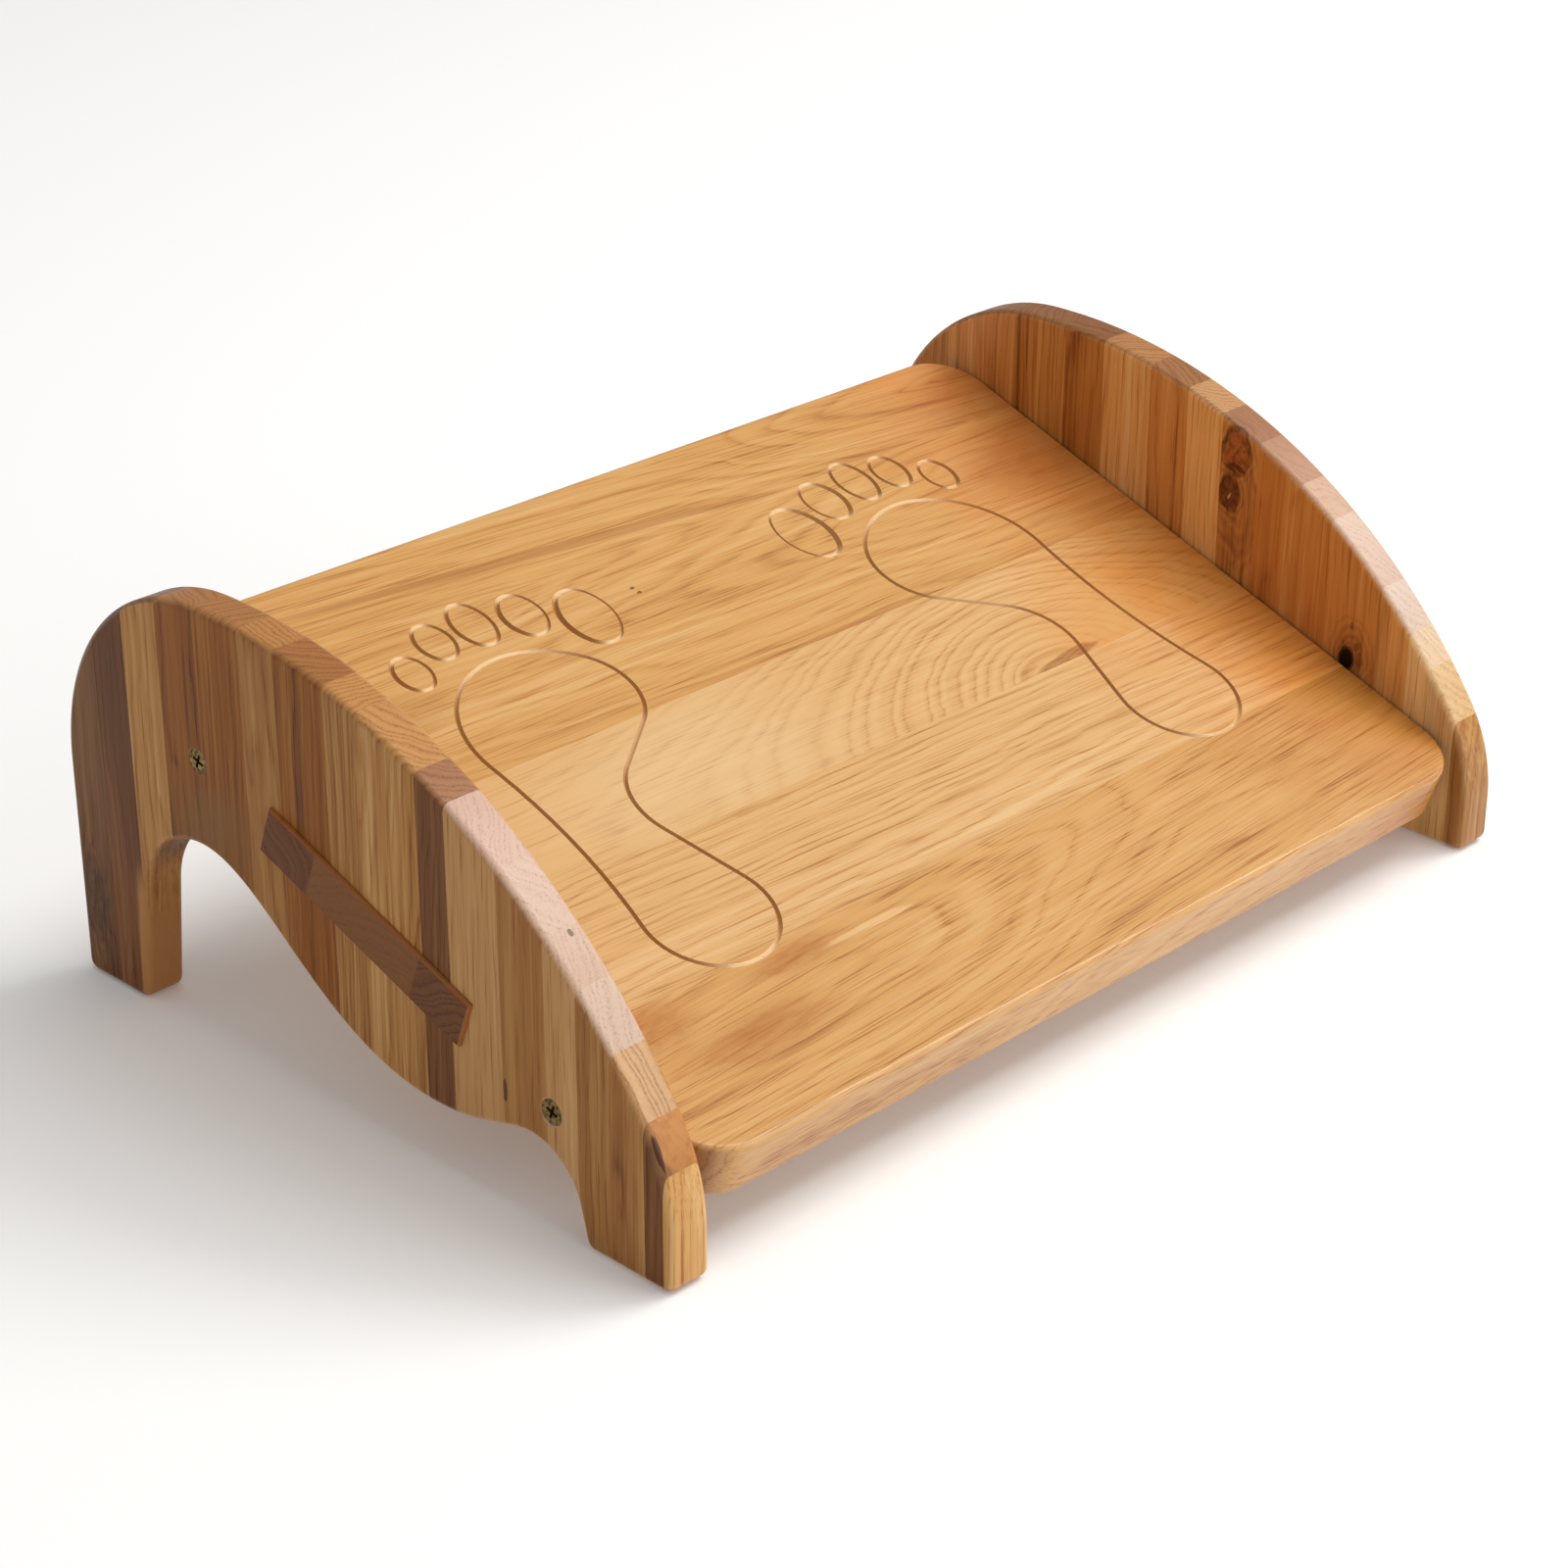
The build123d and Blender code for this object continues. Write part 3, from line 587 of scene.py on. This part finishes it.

# Planks of the footboard, back to front: pith as across, down and under, and the painted shade of the right
# end
plankPlain = dict(
    tone="honey", endRings=1.0, runOut=0.03, reach=400, lean=0,
    gloss=0.22, faceCoat=0.06, edgeCoat=0.7, endCoat=0.05)
footPlanks = {
    "footboard_plank_1": dict(
        seed=41.3, pith=(150, 8, 6), runOut=0.15, reach=300, lean=-3, wander=7, ring=5.0, ringDepth=0.4,
        streak=0.75, pore=0.6, end="b08050", warm="ffe2c8"),
    "footboard_plank_2": dict(
        seed=42.7, pith=(-40, 62, 26), runOut=0.08, wander=10, ring=4.6, ringDepth=0.45,
        streak=0.5, pore=0.6, end="66340c", warm="ffdcba"),
    "footboard_plank_3": dict(
        tone="wheat", seed=43.1, pith=(82, 159, 0), runOut=0.62, reach=130, wander=2.5, ring=3.6,
        ringDepth=0.62, endRings=0.2, streak=0.22, pore=0.45, end="7a4516", warm="ffd69c"),
    "footboard_plank_4": dict(
        tone="wheat", seed=44.9, pith=(0, 278, 136), lean=-1.5, wander=3, ring=2.6, ringDepth=0.5,
        endRings=1.3, streak=0.4, pore=0.65, end="683408", warm="ffd6a0"),
    "footboard_plank_5": dict(
        seed=45.4, pith=(-145, 226, 2), runOut=0.14, lean=3, wander=9, ring=5.0, ringDepth=0.42,
        streak=0.5, pore=0.75, end="b08050", warm="ecd2a4"),
}
stainPlain = dict(patchPlain, lean=0, reach=1.5, heartTone="b06c2a", mottleTone="9c5a1e")
plankMarks = {
    "footboard_plank_1": [
        dict(spot=(-45, 25), size=(30, 2.2, 120), lean=-5.8, heart=0.4, heartTone="9a5f2b"),
        # Darker, redder patch by the right panel at the back: painted shade
        dict(spot=(168, 26), size=(30, 18, 28), haze=0.35, mottle=0.1,
             heartTone="b06c30", mottleTone="9c5a26"),
    ],
    "footboard_plank_2": [
        # Darker, redder patch by the right panel at the back: painted shade
        dict(spot=(160, 62), size=(30, 20, 30), haze=0.4, mottle=0.1,
             heartTone="b06c30", mottleTone="9c5a26"),
        dict(spot=(-152, 71), size=(30, 10, 26), haze=0.4, mottle=0.1,
             heartTone="a06a2c", mottleTone="8c5620"),
        dict(spot=(-27.4, 54), size=(9, 0.7, 1.1), heart=0.8, heartTone="64380f"),
        dict(spot=(-26.6, 56.8), size=(9, 0.7, 1.1), heart=0.8, heartTone="64380f"),
        dict(spot=(52, 73), size=(9, 0.7, 1.0), push=0.5, heart=0.7, heartTone="6e4018"),
    ],
    "footboard_plank_3": [
        dict(spot=(-70, 132), size=(30, 30, 66), haze=0.24, heartTone="ecd2a6"),
        dict(spot=(120, 150), size=(30, 26, 36), haze=0.75, mottle=0.1,
             heartTone="d39c58", mottleTone="c88e4c"),
        dict(spot=(90, 152), size=(30, 2.6, 18), lean=5, heart=0.6, mottle=0.4,
             heartTone="9a5c2a", mottleTone="7c4518"),
    ],
    "footboard_plank_5": [
        dict(spot=(-163, 212), size=(30, 10, 18), reach=1.4, haze=0.6, mottle=0.2),
        dict(spot=(-133, 230), size=(30, 8, 30), reach=1.4, haze=0.65, mottle=0.2),
        dict(spot=(-102, 211), size=(30, 5.5, 20), reach=1.4, haze=0.6, mottle=0.2),
        dict(spot=(-70, 213), size=(30, 1.5, 20), push=2, heart=0.4, heartTone="efcb96"),
    ],
}
for name, values in footPlanks.items():
    look = {**plankPlain, **values}
    marks = [{**stainPlain, **mark} for mark in plankMarks.get(name, [])]
    for mark in marks:
        mark["at"] = boardPoint(*mark["spot"]) * perMetre
        mark["turn"] = boardTurn(mark["lean"])
    place = tuple(boardPoint(*look["pith"]))
    dressOak(name, look, place, boardTurn(look["lean"]), tuple(boardNormal), acrossAxis, marks)
print("footrest: footboard dressed")

# Plated screws
screwLook = dict(
    patches=dict(scale=700.0, detail=3.0), plate="94794a", dull="4f3d24", dullStep=(0.35, 0.7),
    rough=(0.2, 0.8, 0.32, 0.58))
steel = bpy.data.materials.new("screw_plate")
steel.use_nodes = True
tree = steel.node_tree
coords = addNode(tree, "ShaderNodeTexCoord").outputs["Object"]
patches = addNoise(tree, coords, **screwLook["patches"]).outputs[0]
dulled = softStep(tree, patches, *screwLook["dullStep"])
setInputs(tree, tree.nodes["Principled BSDF"], {
    "Base Color": blendColour(tree, "MIX", dulled, tint(screwLook["plate"]), tint(screwLook["dull"])),
    "Roughness": softStep(tree, patches, *screwLook["rough"]),
    "Metallic": 1.0,
})
for name in ("left_screws", "right_screws"):
    nodes[name].data.materials.clear()
    nodes[name].data.materials.append(steel)
print("footrest: screws dressed")

# Pale floor that fades out into the backdrop
floorLook = dict(size=14.0, level=-0.0002, colour="f4f3f1", rough=0.75, glow=0.12, fade=(1.3, 3.2, 1.0, 0.0))
bpy.ops.object.select_all(action="DESELECT")
bpy.ops.mesh.primitive_plane_add(size=floorLook["size"], location=(0, 0, floorLook["level"]))
floor = bpy.context.object
floor.name = "floor"
paper = bpy.data.materials.new("pale_floor")
paper.use_nodes = True
tree = paper.node_tree
far = vectorMaths(tree, "LENGTH", addNode(tree, "ShaderNodeTexCoord").outputs["Object"], out=1)
setInputs(tree, tree.nodes["Principled BSDF"], {
    "Base Color": tint(floorLook["colour"]),
    "Roughness": floorLook["rough"],
    "Emission Color": tint(floorLook["colour"]),
    "Emission Strength": floorLook["glow"],
    "Alpha": softStep(tree, far, *floorLook["fade"]),
})
floor.data.materials.append(paper)

# Soft studio light, with a backdrop that looks paler than it lights
lightLook = dict(world=0.35, backdrop=0.97, aim=(0, 0, 0.07))
lamps = dict(
    key=dict(at=(2.45, -0.95, 2.76), size=1.9, power=66.0),
    top=dict(at=(0.6, -0.6, 3.2), size=2.8, power=42.0),
    front=dict(at=(1.2, -2.6, 1.2), size=2.2, power=28.0),
)
world = bpy.data.worlds.new("studio")
bpy.context.scene.world = world
world.use_nodes = True
tree = world.node_tree
seen = addNode(tree, "ShaderNodeLightPath").outputs["Is Camera Ray"]
extra = lightLook["backdrop"] - lightLook["world"]
setInputs(tree, tree.nodes["Background"], {
    "Color": (1.0, 1.0, 1.0, 1.0),
    "Strength": maths(tree, "MULTIPLY_ADD", seen, extra, lightLook["world"]),
})
for name, values in lamps.items():
    lamp = bpy.data.lights.new(name, "AREA")
    lamp.shape = "DISK"
    lamp.size = values["size"]
    lamp.energy = values["power"]
    stand = bpy.data.objects.new(name, lamp)
    bpy.context.scene.collection.objects.link(stand)
    stand.location = values["at"]
    toAim = Vector(lightLook["aim"]) - Vector(values["at"])
    stand.rotation_euler = toAim.to_track_quat("-Z", "Y").to_euler()
print("footrest: floor and lights set")

# Camera where the photograph was taken
cameraLook = dict(
    at=(-0.77255, -0.73996, 0.56222), yaw=45.718, pitch=25.839, lens=81.23, sensor=36.0, near=0.05)
eye = bpy.data.cameras.new("camera")
eye.lens = cameraLook["lens"]
eye.sensor_width = cameraLook["sensor"]
eye.clip_start = cameraLook["near"]
tripod = bpy.data.objects.new("camera", eye)
bpy.context.scene.collection.objects.link(tripod)
tripod.location = cameraLook["at"]
yaw, pitch = math.radians(cameraLook["yaw"]), math.radians(cameraLook["pitch"])
ahead = Vector((math.sin(yaw) * math.cos(pitch), math.cos(yaw) * math.cos(pitch), -math.sin(pitch)))
tripod.rotation_euler = ahead.to_track_quat("-Z", "Y").to_euler()
bpy.context.scene.camera = tripod
bpy.context.scene.view_settings.view_transform = "Standard"
print("footrest: camera set")
